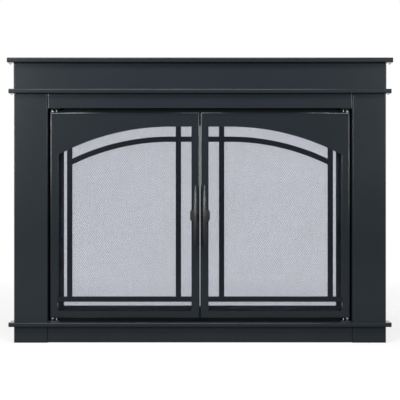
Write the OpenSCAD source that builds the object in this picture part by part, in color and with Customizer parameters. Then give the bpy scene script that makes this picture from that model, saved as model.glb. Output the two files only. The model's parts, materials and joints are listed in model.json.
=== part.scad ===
// Fireplace glass door: a free-standing steel front with two framed glass doors,
// a prairie grille on each, and a pair of mesh gates behind the glass.
// X runs across the front, Y into the wall and Z up. Y = 0 is the face of the
// fireplace surround, and Z = 0 is the hearth.

/* [Front] */
// Width across the two columns
body_w = 1105; // [1000:5:1200]
// Width of one column
column_w = 100; // [85:1:120]
// Depth of the columns, from the surround to their front face
column_d = 48; // [44:1:60]
// Clear height of the door opening
opening_h = 636; // [560:2:700]
// Height of the kick rail below the lower ledge, with its gap to the hearth
kick_h = 48; // [40:1:70]
// Gap between the kick rail and the hearth
kick_gap = 1; // [0.5:0.5:3]
// Height of the rail between the opening and the upper ledge
lower_header_h = 43; // [36:1:60]
// Height of the header panel between the upper ledge and the shelf
header_h = 78; // [60:1:110]
// How far the header panel stands proud of the columns
header_proud = 2; // [0:0.5:4]
// Thickness of the upper and lower ledges
ledge_t = 13; // [10:0.5:18]
// How far the ledges overhang the columns at the front and the sides
ledge_over = 14; // [8:1:22]
// Thickness of the top shelf
shelf_t = 14; // [10:0.5:20]
// How far the top shelf overhangs the columns
shelf_over = 18; // [12:1:26]
// Thickness of the folded sheet
sheet = 1.5; // [1.2:0.1:2]
// Outer radius of the folds that show
fold_r = 3; // [2.4:0.2:4]
// Radius at the upper corners of the opening
corner_r = 5; // [3:0.5:7]

/* [Glass doors] */
// Gap between a column and the door's hinge edge
side_gap = 4; // [3.6:0.2:5]
// Gap between the two doors
centre_gap = 1; // [0.6:0.2:4]
// Gap above and below the doors
end_gap = 10; // [8.5:0.5:12]
// How far the doors' faces sit behind the columns' faces
door_recess = 15; // [13:0.5:17]
// Depth of the door frame's folded edges
door_d = 14; // [13.5:0.5:15]
// Radius of the door frame's outer fold
door_fold_r = 5.5; // [3:0.25:6]
// Width of the hinge stile, without its inner fold
hinge_stile_w = 22.5; // [21:0.5:26]
// Width of the meeting stile
meeting_stile_w = 25; // [23:0.5:27]
// Height of the door's bottom rail
bottom_rail_h = 22.3; // [20:0.1:26]
// Height of the arched door header at its highest point
arch_top_h = 44.3; // [40:0.1:60]
// Radius of the header's arch
arch_r = 709; // [650:1:900]
// Distance from the doors' meeting line to the top of the arch
arch_x = 89; // [60:1:120]
// Depth of the lips around the glass
lip_d = 6; // [5.5:0.1:6.5]
// Thickness of the glass
glass_t = 4; // [3:0.5:5]
// How far the glass reaches behind the lips
glass_lap = 6; // [4:0.5:7]

/* [Grille] */
// Width of the grille's flat bars
bar_w = 16; // [12:0.5:20]
// Thickness of the grille's flat bars
bar_t = 3; // [2:0.5:4]
// Distance from the window's hinge side to the middle of the outer upright bar
outer_bar_in = 37.2; // [26:0.2:76]
// Distance from the meeting line to the middle of the inner upright bar
inner_bar_x = 64.5; // [50:0.5:120]
// Height of the middle of the cross bar above the door's lower edge
cross_bar_h = 57.2; // [45:0.2:120]
// Gap between the arched header and the curved bar
curved_bar_gap = 29.4; // [20:0.2:50]

/* [Handles] */
// Height of the handles' middle above the door's lower edge
handle_h = 306.5; // [250:0.5:360]
// Distance from the door's meeting edge to the handle's middle
handle_in = 12.9; // [11:0.1:15]
// Length of a handle bar
handle_l = 182; // [120:1:220]
// Width of a handle bar at its middle
handle_w = 12; // [9:0.5:15]
// Width of a handle bar at its tips
handle_tip_w = 6; // [4:0.5:8]
// Depth of a handle bar at its middle
handle_bar_d = 11; // [8:0.5:14]
// Depth of a handle bar at its tips
handle_tip_d = 6; // [4:0.5:8]
// Distance from the door's face to the outside of the bar at its middle
handle_reach = 45; // [38:1:60]
// How far the bar's tips sit back from its middle
handle_bow = 12; // [6:1:18]
// Width of the handle's back plate
plate_w = 23.6; // [20:0.2:25]
// Height of the handle's back plate
plate_h = 35; // [28:1:45]
// Thickness of the handle's back plate
plate_t = 3; // [2:0.5:5]
// Radius of the handle's post
post_r = 5; // [4:0.5:6]

/* [Door pivots] */
// Distance from the door's hinge edge to its pivot
pivot_in = 8; // [7.5:0.25:8.5]
// Radius of the door pivot pins
pin_r = 4; // [3:0.25:4.25]
// Radial clearance of a pin in its bush
pin_clear = 0.05; // [0.02:0.01:0.1]
// Outer radius of the door bushes
bush_r = 5.2; // [5:0.05:5.4]
// Radius of the door bushes' flanges
bush_flange_r = 6; // [5.8:0.1:6.4]
// Thickness of the door bushes' flanges
bush_flange_t = 3; // [2:0.5:4]
// Thickness of the hinge plates
hinge_plate_t = 2; // [1.5:0.5:3]
// How far each door opens, in degrees
door_open = 100; // [80:1:100]

/* [Mesh gates] */
// Width of the gate frame's bars
gate_bar_w = 19; // [17:0.5:22]
// Depth of the gate frame
gate_d = 8; // [7.6:0.2:9]
// Gap between the doors' rear edges and the gates
gate_gap = 2; // [1.5:0.25:3]
// Distance from the side of the opening to the outer edge of a gate
gate_in = 25.9; // [24.5:0.2:32.5]
// Gap between the two gates
gate_centre_gap = 1.5; // [1:0.25:4]
// Height of the gates' lower edge above the lower ledge
gate_lift = 27.6; // [24:0.2:36]
// Distance from the gates' upper edge to the top of the opening
gate_drop = 27.4; // [24:0.2:36]
// Thickness of the gate frame's sheet
gate_sheet = 1.2; // [1:0.1:1.5]
// Distance from a gate's outer edge to its pivot
gate_pivot_in = 8.5; // [8:0.25:9]
// Radius of the gate pivot pins
gate_pin_r = 2; // [1.5:0.1:2.1]
// Outer radius of the gate bushes
gate_bush_r = 2.7; // [2.6:0.05:2.75]
// Thickness of the mesh panel
mesh_t = 1.8; // [1.4:0.2:2.2]
// Width of the mesh panel's wires
wire_w = 1.8; // [1:0.1:2.5]
// Number of mesh openings across a gate
mesh_nx = 14; // [8:1:15]
// Number of mesh openings up a gate
mesh_nz = 20; // [10:1:20]

/* [Fixing] */
// Radius of the machine screws that hold the front together
screw_r = 2; // [1.5:0.25:2.5]
// Distance of the lintel brackets from the sides of the opening
lintel_in = 152.5; // [125:2.5:250]
// How far the lintel brackets reach behind the surround's face
lintel_reach = 78; // [60:1:100]
// Radius of the lintel clamp bolts
clamp_r = 4; // [3:0.5:5]
// How far the floor brackets reach behind the surround's face
floor_reach = 48; // [40:1:70]
// Radius of the anchor holes in the floor brackets
anchor_r = 3.5; // [3:0.25:4.5]
// Thickness of the lintel and floor brackets
bracket_t = 3; // [2:0.5:4]

/* [Hidden] */
$fn = 64;

paint = "#34383c";
steel = "#8b8f92";
eps = 0.01;
seat = 0.3;

// The front, across and from the hearth up
body_x = body_w / 2;
opening_x = body_x - column_w;
column_y = -column_d;
sill_z = kick_h + ledge_t;
head_z = sill_z + opening_h;
upper_ledge_z = head_z + lower_header_h;
header_z = upper_ledge_z + ledge_t;
shelf_z = header_z + header_h;
ledge_y = column_y - ledge_over;
shelf_y = column_y - shelf_over;
header_y = column_y - header_proud;

// The doors and what they close against
door_y = column_y + door_recess;
door_back_y = door_y + door_d;
door_x = opening_x - side_gap;
meet_x = centre_gap / 2;
door_z0 = sill_z + end_gap;
door_z1 = head_z - end_gap;
pivot_x = door_x - pivot_in;
pivot_y = door_y + door_d / 2;
gate_y = door_back_y + gate_gap;
gate_back_y = gate_y + gate_d;
stop_y = gate_back_y + seat;
gate_meet_x = gate_centre_gap / 2;
gate_z0 = sill_z + gate_lift;
gate_z1 = head_z - gate_drop;
gate_outer_x = opening_x - gate_in;
gate_pivot_x = gate_outer_x - gate_pivot_in;
gate_pivot_y = gate_y + gate_d / 2;

// The window in each door
window_x0 = meet_x + meeting_stile_w;
window_x1 = door_x - hinge_stile_w;
window_z0 = door_z0 + bottom_rail_h;
arch_z = door_z1 - arch_top_h;
arch_cz = arch_z - arch_r;
glass_y = door_y + lip_d;
lip_straight = 0.3;
inner_fold_r = lip_d - lip_straight;
lip_x1 = window_x1 - inner_fold_r;
outer_bar_x = window_x1 - outer_bar_in;

// Screws
head_r = 2 * screw_r;
head_t = 1.4 * screw_r;
screw_tip = 5;
screw_in = 10;
screw_y = column_y + screw_in;
flange_d = 24;
return_d = 32;
lip_h = 22;

// ---- Shared shapes ----

// A sheet standing across the front, from its front face to its thickness behind it
module upright(front_y, thick) {
    translate([0, front_y + thick, 0]) rotate([90, 0, 0]) linear_extrude(thick) children();
}

// A round bar that runs back from a front face
module upright_round(x, front_y, z, r, length) {
    translate([x, front_y, z]) rotate([-90, 0, 0]) cylinder(r = r, h = length);
}

// A profile drawn with Y across and Z up, run along X between two places
module run_x(x0, x1) {
    translate([x0, 0, 0]) rotate([90, 0, 90]) linear_extrude(x1 - x0) children();
}

// A profile drawn in plan, run up between two heights
module run_z(z0, z1) {
    translate([0, 0, z0]) linear_extrude(z1 - z0) children();
}

module box(x0, x1, y0, y1, z0, z1) {
    translate([x0, y0, z0]) cube([x1 - x0, y1 - y0, z1 - z0]);
}

module rect(x0, x1, y0, y1) {
    translate([x0, y0]) square([x1 - x0, y1 - y0]);
}

module both_sides() {
    children();
    mirror([1, 0, 0]) children();
}

module rounded_rect(w, h, r) {
    translate([r, 0]) square([w - 2 * r, h]);
    translate([0, r]) square([w, h - 2 * r]);
    for (x = [r, w - r], y = [r, h - r]) translate([x, y]) circle(r);
}

// One folded corner: legs along both axes, rounded on the outside
module fold(leg_x, leg_y, r, t) {
    translate([r, 0]) square([leg_x - r, t]);
    translate([0, r]) square([t, leg_y - r]);
    intersection() {
        square(r);
        difference() {
            translate([r, r]) circle(r);
            translate([r, r]) circle(r - t);
        }
    }
}

// A pan-head screw whose head lies below its seat and whose shank points up
module screw(length) {
    translate([0, 0, -head_t]) cylinder(r = head_r, h = head_t);
    cylinder(r = screw_r, h = length);
}

module screw_hole(length) {
    translate([0, 0, -length]) cylinder(r = screw_r + pin_clear, h = 2 * length);
}

// ---- The fixed front ----

column_flange = 18;
column_tab_d = 30;
column_screw_x = [column_w / 4, 3 * column_w / 4];
rail_screw_in = [102.5, 302.5];
rail_screw_x = [for (in = rail_screw_in) opening_x - in];
shelf_screw_in = [72.5, 392.5];
shelf_screw_x = [for (in = shelf_screw_in) body_x - in];

module column_plan() {
    difference() {
        rounded_rect(column_w, column_d, fold_r);
        translate([sheet, sheet]) rounded_rect(column_w - 2 * sheet, column_d - 2 * sheet, fold_r - sheet);
        translate([column_flange, column_d / 2]) square([column_w - 2 * column_flange, column_d]);
    }
}

module column() {
    color(paint) difference() {
        translate([opening_x, column_y, 0]) union() {
            run_z(0, upper_ledge_z) column_plan();
            box(sheet, column_w - sheet, sheet, column_tab_d, upper_ledge_z - sheet, upper_ledge_z);
        }
        for (x = column_screw_x) translate([opening_x + x, screw_y, upper_ledge_z]) screw_hole(screw_tip);
        side_screw_holes();
    }
}

module left_column() mirror([1, 0, 0]) column();
module right_column() column();

// A rail between the columns: a face with folded ends, drawn in plan
module rail_plan(depth) {
    both_sides() translate([-opening_x, column_y]) fold(opening_x + eps, depth, fold_r, sheet);
}

module lower_header() {
    color(paint) difference() {
        union() {
            run_z(head_z, upper_ledge_z) rail_plan(flange_d);
            box(-opening_x + sheet, opening_x - sheet, column_y + sheet, stop_y, head_z, head_z + sheet);
            box(-opening_x + sheet, opening_x - sheet, stop_y - sheet, stop_y,
                head_z + sheet, head_z + lip_h);
            box(-opening_x + sheet, opening_x - sheet, column_y + sheet, column_y + flange_d,
                upper_ledge_z - sheet, upper_ledge_z);
            upright(column_y, sheet) both_sides() difference() {
                translate([-opening_x, head_z - corner_r]) square([corner_r, corner_r + sheet]);
                translate([-opening_x + corner_r, head_z - corner_r]) circle(corner_r);
            }
        }
        both_sides() for (x = rail_screw_x) {
            translate([x, screw_y, upper_ledge_z]) screw_hole(screw_tip);
            translate([x, stop_y, head_z + lip_h / 2]) rotate([90, 0, 0]) screw_hole(screw_tip);
        }
        both_sides() {
            hinge_screw_holes(head_z);
            at_lintel_screws() screw_hole(screw_tip);
        }
    }
}

module kick_rail() {
    color(paint) difference() {
        union() {
            run_z(kick_gap, kick_h) rail_plan(flange_d);
            box(-opening_x + sheet, opening_x - sheet, column_y + sheet, column_y + flange_d,
                kick_h - sheet, kick_h);
            box(-opening_x + sheet, opening_x - sheet, column_y + sheet, column_y + flange_d,
                kick_gap, kick_gap + sheet);
        }
        both_sides() for (x = rail_screw_x) translate([x, screw_y, kick_h]) screw_hole(screw_tip);
    }
}

// A ledge is a folded channel with a rounded nose and closed ends
module nose_section(front_y, thick, top_back_y, bottom_d) {
    translate([front_y, 0]) union() {
        fold(top_back_y - front_y, thick - fold_r, fold_r, sheet);
        translate([0, thick]) mirror([0, 1]) fold(bottom_d, thick - fold_r, fold_r, sheet);
    }
}

module nose_outline(front_y, thick) {
    translate([front_y, 0]) union() {
        translate([fold_r, 0]) square([-front_y - fold_r, thick]);
        translate([0, fold_r]) square([-front_y, thick - 2 * fold_r]);
        for (z = [fold_r, thick - fold_r]) translate([fold_r, z]) circle(fold_r);
    }
}

// The upper side of a ledge is the longer one, so the section is turned over
module ledge_shell(half_w, front_y, thick, z0, top_back_y, bottom_d) {
    run_x(-half_w + sheet, half_w - sheet)
        translate([0, z0 + thick]) mirror([0, 1]) nose_section(front_y, thick, top_back_y, bottom_d);
    both_sides() run_x(half_w - sheet, half_w) translate([0, z0]) nose_outline(front_y, thick);
}

module top_shelf() {
    color(paint) difference() {
        ledge_shell(body_x + shelf_over, shelf_y, shelf_t, shelf_z, 0, return_d);
        both_sides() for (x = shelf_screw_x) translate([x, screw_y, shelf_z]) screw_hole(screw_tip);
    }
}

module upper_ledge() {
    color(paint) difference() {
        ledge_shell(body_x + ledge_over, ledge_y, ledge_t, upper_ledge_z, 0, return_d);
        both_sides() {
            for (x = shelf_screw_x) translate([x, screw_y, header_z]) screw_hole(screw_tip);
            for (x = rail_screw_x) translate([x, screw_y, upper_ledge_z]) screw_hole(screw_tip);
            for (x = column_screw_x) translate([opening_x + x, screw_y, upper_ledge_z]) screw_hole(screw_tip);
        }
    }
}

module lower_ledge() {
    color(paint) difference() {
        union() {
            ledge_shell(body_x + ledge_over, ledge_y, ledge_t, kick_h, stop_y, return_d);
            box(-opening_x, opening_x, stop_y - sheet, stop_y, sill_z - lip_h, sill_z - sheet);
            both_sides() box(body_x, body_x + ledge_over - sheet, stop_y, 0, sill_z - sheet, sill_z);
        }
        both_sides() {
            box(opening_x, body_x, column_y, ledge_over, kick_h - ledge_t, sill_z + ledge_t);
            for (x = rail_screw_x) {
                translate([x, screw_y, kick_h]) screw_hole(screw_tip);
                translate([x, stop_y, sill_z - lip_h / 2]) rotate([90, 0, 0]) screw_hole(screw_tip);
            }
            hinge_screw_holes(sill_z);
        }
    }
}

module header_panel() {
    header_x = body_x + header_proud / 2;
    color(paint) difference() {
        union() {
            run_z(header_z, shelf_z) both_sides() translate([-header_x, header_y])
                fold(header_x + eps, -header_y, fold_r, sheet);
            for (z = [header_z, shelf_z - sheet])
                box(-header_x + sheet, header_x - sheet, header_y + sheet, header_y + flange_d, z, z + sheet);
        }
        both_sides() for (x = shelf_screw_x, z = [header_z, shelf_z])
            translate([x, screw_y, z]) screw_hole(screw_tip);
    }
}

// Folded strips that close the gap between each column and the door
jamb_step = 3.3;
jamb_y = stop_y - jamb_step;
jamb_leg = 21;
jamb_screw_y = -5;
jamb_screw_in = 60;
jamb_screw_z = [sill_z + jamb_screw_in, (sill_z + head_z) / 2, head_z - jamb_screw_in];

module jamb() {
    color(paint) difference() {
        run_z(sill_z, head_z) translate([opening_x, jamb_y]) mirror([1, 0])
            fold(jamb_leg, -jamb_y, fold_r, sheet);
        side_screw_holes();
    }
}
module left_jamb() mirror([1, 0, 0]) jamb();
module right_jamb() jamb();

// Screws that run sideways into the columns' inner walls
module side_screw_holes() {
    for (z = jamb_screw_z) translate([opening_x, jamb_screw_y, z]) rotate([0, 90, 0]) screw_hole(screw_tip);
    translate([opening_x, floor_screw_y, floor_screw_z]) rotate([0, 90, 0]) screw_hole(screw_tip);
}

module side_screws() color(steel) both_sides() {
    for (z = jamb_screw_z)
        translate([opening_x - sheet, jamb_screw_y, z]) rotate([0, 90, 0]) screw(screw_tip);
    translate([opening_x - bracket_t, floor_screw_y, floor_screw_z]) rotate([0, 90, 0])
        screw(screw_tip + bracket_t);
}

// Plates behind the gates, screwed to the header's and the ledge's rear lips. Their corners
// are cut away where the gates' outer edges swing back.
stop_clear = 1;
gate_swing_r = norm([gate_pivot_in, gate_d / 2]);
notch_x = gate_pivot_x - gate_swing_r;
stop_x = opening_x - jamb_leg - stop_clear;
head_stop_hide = 4;
head_stop_z = arch_z + head_stop_hide;
sill_stop_hide = 2.6;
sill_stop_z = gate_z0 + gate_bar_w - sill_stop_hide;
magnet_x = 12;
magnet_drop = 7;
magnet_z = gate_z1 - magnet_drop;
magnet_r = 5;
magnet_t = 3;

module stop_plate(z0, z1, screw_z) {
    difference() {
        upright(stop_y, sheet) difference() {
            rect(-stop_x, stop_x, z0, z1);
            both_sides() {
                translate([gate_pivot_x, 0]) rivet_marks();
                rect(notch_x, stop_x + eps, tab_z, top_tab_z);
            }
        }
        both_sides() for (x = rail_screw_x)
            translate([x, stop_y, screw_z]) rotate([90, 0, 0]) screw_hole(screw_tip);
    }
}

module head_stop() {
    color(paint) difference() {
        stop_plate(head_stop_z, head_z + lip_h, head_z + lip_h / 2);
        both_sides() {
            translate([magnet_x, stop_y - eps, magnet_z]) rotate([-90, 0, 0])
                cylinder(r = magnet_r, h = magnet_t);
            at_lintel_screws() screw_hole(screw_tip);
        }
    }
}

module sill_stop() {
    color(paint) stop_plate(sill_z - lip_h, sill_stop_z, sill_z - lip_h / 2);
}

module stop_screws() {
    color(steel) both_sides() for (x = rail_screw_x, z = [head_z + lip_h / 2, sill_z - lip_h / 2])
        translate([x, stop_y + sheet, z]) rotate([90, 0, 0]) screw(screw_tip);
    color(steel) both_sides() at_lintel_screws() translate([0, 0, -sheet - bracket_t])
        screw(screw_tip + bracket_t);
}

module frame_screws() {
    color(steel) both_sides() {
        for (x = shelf_screw_x) {
            translate([x, screw_y, shelf_z - sheet]) screw(screw_tip);
            translate([x, screw_y, header_z + sheet]) mirror([0, 0, 1]) screw(screw_tip);
        }
        for (x = rail_screw_x, z = [upper_ledge_z, kick_h])
            translate([x, screw_y, z - sheet]) screw(screw_tip);
        for (x = column_screw_x) translate([opening_x + x, screw_y, upper_ledge_z - sheet]) screw(screw_tip);
    }
}

// ---- Door pivots on the front ----

hinge_plate_l = 34;
hinge_plate_d = 20;
hinge_screw_in = 26;
hinge_screw_gap = 10;
pin_shoulder_r = 5;
pin_l = 8;

module hinge_screw_holes(z) {
    for (side = [-1, 1])
        translate([opening_x - hinge_screw_in, pivot_y + side * hinge_screw_gap / 2, z])
            screw_hole(screw_tip);
}

// One hinge plate lying on the sill, with its pin's shoulder reaching the door's bush
module hinge_plate() {
    difference() {
        box(opening_x - hinge_plate_l, opening_x - seat, pivot_y - hinge_plate_d / 2,
            pivot_y + hinge_plate_d / 2, sill_z, sill_z + hinge_plate_t);
        hinge_screw_holes(sill_z);
        translate([pivot_x, pivot_y, sill_z - eps]) cylinder(r = pin_r, h = hinge_plate_t + 2 * eps);
    }
}

module door_pin() {
    shoulder_z = sill_z + hinge_plate_t;
    bush_z = door_z0 - bush_flange_t;
    translate([pivot_x, pivot_y, 0]) {
        translate([0, 0, sill_z]) cylinder(r = pin_r, h = bush_z - sill_z + bush_flange_t + pin_l);
        translate([0, 0, shoulder_z]) cylinder(r = pin_shoulder_r, h = bush_z - shoulder_z - seat / 2);
    }
}

module hinge_screws() {
    for (side = [-1, 1])
        translate([opening_x - hinge_screw_in, pivot_y + side * hinge_screw_gap / 2, sill_z + hinge_plate_t])
            mirror([0, 0, 1]) screw(screw_tip);
}

// The same fittings hang from the header, turned over
module turned_over() {
    translate([0, 0, sill_z + head_z]) mirror([0, 0, 1]) children();
}

module lower_hinge_plates() color(steel) both_sides() hinge_plate();
module upper_hinge_plates() color(steel) turned_over() both_sides() hinge_plate();
module door_pivot_pins() color(steel) both_sides() {
    door_pin();
    turned_over() door_pin();
}
module hinge_plate_screws() color(steel) both_sides() {
    hinge_screws();
    turned_over() hinge_screws();
}

// ---- Gate pivots on the front ----

tab_w = 16;
tab_t = 1.5;
tab_leg = 20;
gate_flange_t = 0.8;
gate_flange_r = 3.8;
gate_pin_l = 9;
rivet_r = 1.6;
rivet_head_r = 3.2;
rivet_head_t = 1.2;
rivet_down = 11;
tab_clear = 0.2;
tab_z = gate_z0 - gate_flange_t - tab_clear;
top_tab_z = gate_z1 + gate_flange_t + tab_clear;

// Rivet holes in the stop plates, drawn across the front
module rivet_marks() {
    for (z = [tab_z - rivet_down, top_tab_z + rivet_down]) translate([0, z]) circle(rivet_r);
}

module gate_bracket() {
    difference() {
        union() {
            box(gate_pivot_x - tab_w / 2, gate_pivot_x + tab_w / 2, gate_y - seat, stop_y - tab_t,
                tab_z - tab_t, tab_z);
            box(gate_pivot_x - tab_w / 2, gate_pivot_x + tab_w / 2, stop_y - tab_t, stop_y,
                tab_z - tab_leg, tab_z);
        }
        translate([gate_pivot_x, gate_pivot_y, tab_z - tab_t - eps])
            cylinder(r = gate_pin_r, h = tab_t + 2 * eps);
        translate([gate_pivot_x, stop_y + eps, tab_z - rivet_down]) rotate([90, 0, 0])
            cylinder(r = rivet_r, h = tab_t + 2 * eps);
    }
}

module gate_rivet() {
    translate([gate_pivot_x, 0, tab_z - rivet_down]) rotate([-90, 0, 0]) {
        translate([0, 0, stop_y - tab_t]) cylinder(r = rivet_r, h = tab_t + sheet);
        translate([0, 0, stop_y - tab_t - rivet_head_t]) cylinder(r = rivet_head_r, h = rivet_head_t);
        translate([0, 0, stop_y + sheet]) cylinder(r = rivet_head_r, h = rivet_head_t);
    }
}

module gate_pin() {
    translate([gate_pivot_x, gate_pivot_y, tab_z - tab_t]) cylinder(r = gate_pin_r, h = tab_t + gate_pin_l);
}

// The upper gate fittings mirror the lower ones about the gates' middle
module gate_turned_over() {
    translate([0, 0, gate_z0 + gate_z1]) mirror([0, 0, 1]) children();
}

module gate_pivot_brackets() color(paint) both_sides() {
    gate_bracket();
    gate_turned_over() gate_bracket();
}
module gate_bracket_rivets() color(steel) both_sides() {
    gate_rivet();
    gate_turned_over() gate_rivet();
}
module gate_pivot_pins() color(steel) both_sides() {
    gate_pin();
    gate_turned_over() gate_pin();
}

// ---- Catches ----

catch_x = 17;
catch_w = 22;
catch_h = 11;
catch_above_gate = 3;
catch_z = gate_z1 + catch_above_gate;

module door_magnets() {
    color("#1d1f21") both_sides() box(catch_x - catch_w / 2, catch_x + catch_w / 2,
        door_back_y + seat, stop_y, catch_z, catch_z + catch_h);
}

module gate_magnets() {
    color("#3b3d3f") both_sides() translate([magnet_x, stop_y, magnet_z]) rotate([-90, 0, 0])
        cylinder(r = magnet_r, h = magnet_t);
}

// ---- Brackets behind the front ----

lintel_w = 30;
lintel_leg = 36;
lintel_screw_gap = 16;
clamp_l = 70;
clamp_foot_r = 11;
clamp_foot_t = 4;
clamp_drop = 22;
clamp_in = 15;
clamp_nut_h = 6;
hex_r = 1.85 * clamp_r;
floor_w = 24;
floor_h = 36;
floor_front_y = -20;
floor_screw_y = -12;
floor_screw_z = 20;
anchor_in = 14;
lintel_x = opening_x - lintel_in;
lintel_z = head_z + lip_h;
lintel_seat_z = lintel_z - lintel_leg;

// Screws that hold a lintel bracket, the head stop and the header's lip together
module at_lintel_screws() {
    for (side = [-1, 1])
        translate([lintel_x + side * lintel_screw_gap / 2, stop_y, head_z + lip_h / 2]) rotate([90, 0, 0])
            children();
}

module lintel_bracket() {
    leg_y = stop_y + sheet;
    difference() {
        union() {
            box(lintel_x - lintel_w / 2, lintel_x + lintel_w / 2, leg_y, leg_y + bracket_t,
                lintel_seat_z, lintel_z);
            box(lintel_x - lintel_w / 2, lintel_x + lintel_w / 2, leg_y + bracket_t, lintel_reach,
                lintel_seat_z, lintel_seat_z + bracket_t);
            translate([lintel_x, lintel_reach - clamp_in, lintel_seat_z + bracket_t])
                cylinder(r = hex_r, h = clamp_nut_h, $fn = 6);
        }
        translate([lintel_x, lintel_reach - clamp_in, lintel_seat_z - eps])
            cylinder(r = clamp_r, h = bracket_t + clamp_nut_h + 2 * eps);
        at_lintel_screws() screw_hole(2 * screw_tip);
    }
}

module clamp_bolt() {
    translate([lintel_x, lintel_reach - clamp_in, lintel_seat_z - clamp_drop]) {
        cylinder(r = clamp_r, h = clamp_l);
        translate([0, 0, -clamp_r]) cylinder(r = hex_r, h = clamp_r, $fn = 6);
        translate([0, 0, clamp_l]) cylinder(r = clamp_foot_r, h = clamp_foot_t);
    }
}

module lintel_brackets() color(steel) both_sides() lintel_bracket();
module lintel_clamp_bolts() color(steel) both_sides() clamp_bolt();

module floor_brackets() {
    color(steel) both_sides() difference() {
        union() {
            box(opening_x - bracket_t, opening_x, floor_front_y, floor_reach, 0, floor_h);
            box(opening_x - floor_w, opening_x - bracket_t, floor_front_y, floor_reach, 0, bracket_t);
        }
        translate([opening_x - floor_w / 2, floor_reach - anchor_in, -eps])
            cylinder(r = anchor_r, h = bracket_t + 2 * eps);
        translate([opening_x, floor_screw_y, floor_screw_z]) rotate([0, 90, 0])
            screw_hole(screw_tip);
    }
}

// ---- Glass doors, drawn as the right-hand one ----

cross_z = door_z0 + cross_bar_h;
handle_x = meet_x + handle_in;
handle_z = door_z0 + handle_h;
clip_t = 1.2;
clip_w = 12;
clip_screw_r = 1.5;
clip_head_t = 2;
boss_r = 3.5;
hinge_boss_in = 9;
meeting_boss_in = 8;
clip_h = [85, 225, 400, 520];
clip_z = [for (h = clip_h) door_z0 + h];
glass_x0 = window_x0 - sheet - glass_lap;
glass_x1 = lip_x1 + sheet + glass_lap;
glass_z0 = window_z0 - sheet - glass_lap;
glass_z1 = arch_z + sheet + glass_lap;
glass_back_y = glass_y + glass_t;
arch_fn = 360;

// The window's outline: square below, a flat stretch and a long arc above
module window(grow) {
    intersection() {
        rect(window_x0 - grow, window_x1, window_z0 - grow, door_z1);
        union() {
            rect(window_x0 - grow, arch_x, window_z0 - grow, arch_z + grow);
            translate([arch_x, arch_cz]) circle(arch_r + grow, $fn = arch_fn);
        }
    }
}

// A door's outer form with its front edges rounded, and the same form inset
module pan(inset) {
    r = door_fold_r - inset;
    x0 = meet_x + inset;
    x1 = door_x - inset;
    z0 = door_z0 + inset;
    z1 = door_z1 - inset;
    y0 = door_y + inset;
    y1 = door_back_y + inset;
    intersection() {
        run_z(z0, z1) union() {
            rect(x0 + r, x1 - r, y0, y1);
            rect(x0, x1, y0 + r, y1);
            for (x = [x0 + r, x1 - r]) translate([x, y0 + r]) circle(r);
        }
        run_x(x0, x1) union() {
            rect(y0, y1, z0 + r, z1 - r);
            rect(y0 + r, y1, z0, z1);
            for (z = [z0 + r, z1 - r]) translate([y0 + r, z]) circle(r);
        }
    }
}

module bush_bore() {
    translate([pivot_x, pivot_y, door_z0 - eps]) cylinder(r = bush_r, h = bush_l);
}

module door_frame() {
    color(paint) difference() {
        union() {
            difference() {
                pan(0);
                pan(sheet);
                upright(door_y - eps, sheet + 2 * eps) window(0);
            }
            upright(door_y + sheet, lip_d - sheet) difference() {
                window(sheet);
                window(0);
            }
            hinge_lip();
            for (z = clip_z, x = [door_x - hinge_boss_in, meet_x + meeting_boss_in])
                upright_round(x, door_y + sheet, z, boss_r, glass_back_y - door_y - sheet);
        }
        bush_bore();
        turned_over() bush_bore();
        upright_round(handle_x, door_y - eps, handle_z, screw_r + pin_clear, sheet + 2 * eps);
        for (z = clip_z, x = [door_x - hinge_boss_in, meet_x + meeting_boss_in])
            upright_round(x, door_y + 2 * sheet, z, clip_screw_r, glass_back_y - door_y);
    }
}

// The hinge stile's inner edge is rolled back to the glass
module hinge_lip() {
    difference() {
        intersection() {
            upright(door_y, lip_d) window(0);
            run_z(window_z0, door_z1) union() {
                translate([lip_x1, door_y]) fold(inner_fold_r + sheet, lip_d, inner_fold_r, sheet);
            }
        }
        box(lip_x1 - eps, window_x1, door_y - eps, door_y + bar_t, cross_z - bar_w / 2, cross_z + bar_w / 2);
    }
}

module grille() {
    top = arch_z - curved_bar_gap;
    color(paint) upright(door_y, bar_t) intersection() {
        window(0);
        union() {
            for (x = [outer_bar_x, inner_bar_x]) rect(x - bar_w / 2, x + bar_w / 2, cross_z, door_z1);
            rect(window_x0, window_x1, cross_z - bar_w / 2, cross_z + bar_w / 2);
            rect(window_x0, arch_x, top - bar_w, top);
            intersection() {
                rect(arch_x, outer_bar_x, cross_z, door_z1);
                difference() {
                    translate([arch_x, arch_cz]) circle(arch_r - curved_bar_gap, $fn = arch_fn);
                    translate([arch_x, arch_cz]) circle(arch_r - curved_bar_gap - bar_w, $fn = arch_fn);
                }
            }
        }
    }
}

module glass() {
    color("#b8c4cc", 0.3) box(glass_x0, glass_x1, glass_y, glass_back_y, glass_z0, glass_z1);
}

module glass_clips() {
    hinge_x = door_x - hinge_boss_in;
    meeting_x = meet_x + meeting_boss_in;
    color(steel) upright(glass_back_y, clip_t) for (z = clip_z) {
        difference() {
            translate([glass_x1 - clip_w / 2, z - clip_w / 2])
                rounded_rect(hinge_x + boss_r - glass_x1 + clip_w / 2, clip_w, sheet);
            translate([hinge_x, z]) circle(clip_screw_r);
        }
        difference() {
            translate([meeting_x - boss_r, z - clip_w / 2])
                rounded_rect(glass_x0 + clip_w / 2 - meeting_x + boss_r, clip_w, sheet);
            translate([meeting_x, z]) circle(clip_screw_r);
        }
    }
}

module clip_screws() {
    color(steel) for (z = clip_z, x = [door_x - hinge_boss_in, meet_x + meeting_boss_in]) {
        upright_round(x, glass_back_y - screw_tip, z, clip_screw_r, screw_tip + clip_t);
        upright_round(x, glass_back_y + clip_t, z, 2 * clip_screw_r, clip_head_t);
    }
}

// ---- Handles ----

plate_out = 4.5;
plate_corner_r = 8;
post_bore = 13;
bore_spare = 1;

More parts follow.
